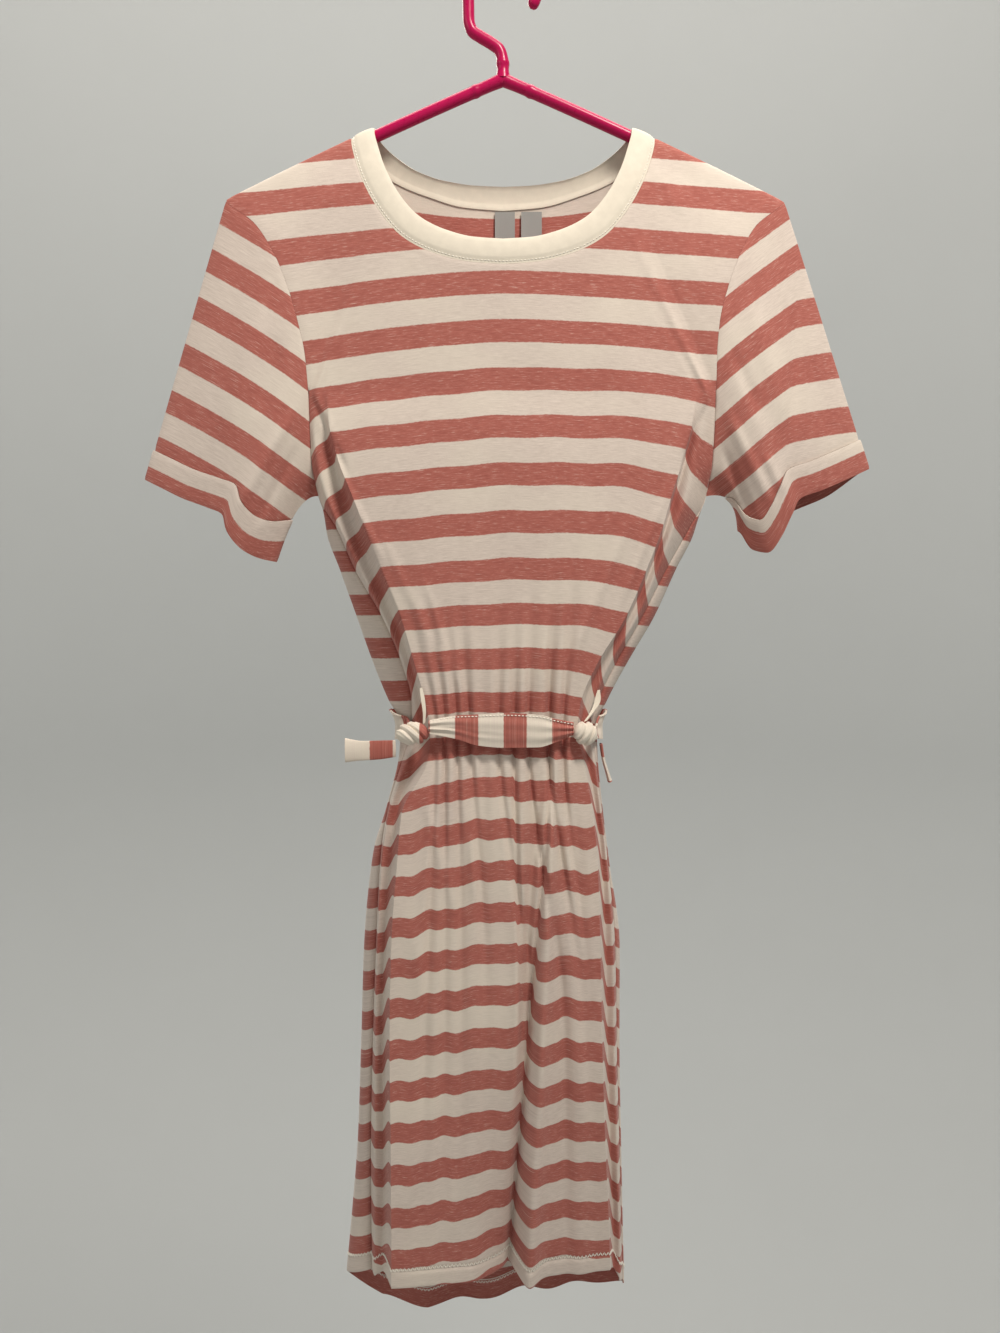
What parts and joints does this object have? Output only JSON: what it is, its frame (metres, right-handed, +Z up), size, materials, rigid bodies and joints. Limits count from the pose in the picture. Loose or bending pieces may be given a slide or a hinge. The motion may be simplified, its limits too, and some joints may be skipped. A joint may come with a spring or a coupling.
{
  "type": "mini dress on a hanger",
  "caption": "Short-sleeved striped jersey mini dress with a crew neckband, tie belt and turned-up cuffs, hanging on a plastic tube hanger.",
  "frame": {"origin": "where the inside of the hanger's hook rests on a rail", "axes": "+Z up, against the way the dress hangs, -Y the way the front faces, +X towards the viewer's right when looking at the front"},
  "size_m": [0.542, 0.0769, 1.053],
  "materials": {
    "striped_jersey": "matte heathered jersey knit, dusty pink and cream stripes",
    "cream_jersey": "matte cream jersey knit",
    "woven_label": "smooth grey woven tape, bare",
    "hanger_plastic": "glossy magenta moulded plastic"
  },
  "bodies": {
    "root": {"front": "striped_jersey", "back": "striped_jersey", "sleeve_left": "striped_jersey", "sleeve_right": "striped_jersey", "cuff_left": "striped_jersey", "cuff_right": "striped_jersey", "belt_front": "striped_jersey", "belt_back": "striped_jersey", "belt_tail": "striped_jersey", "belt_end": "striped_jersey", "neckband": "cream_jersey", "belt_knot_left": "cream_jersey", "belt_knot_right": "cream_jersey", "belt_loop_left": "cream_jersey", "belt_loop_right": "cream_jersey", "label_main": "woven_label", "label_size": "woven_label", "hanger": "hanger_plastic"}
  },
  "joints": []
}
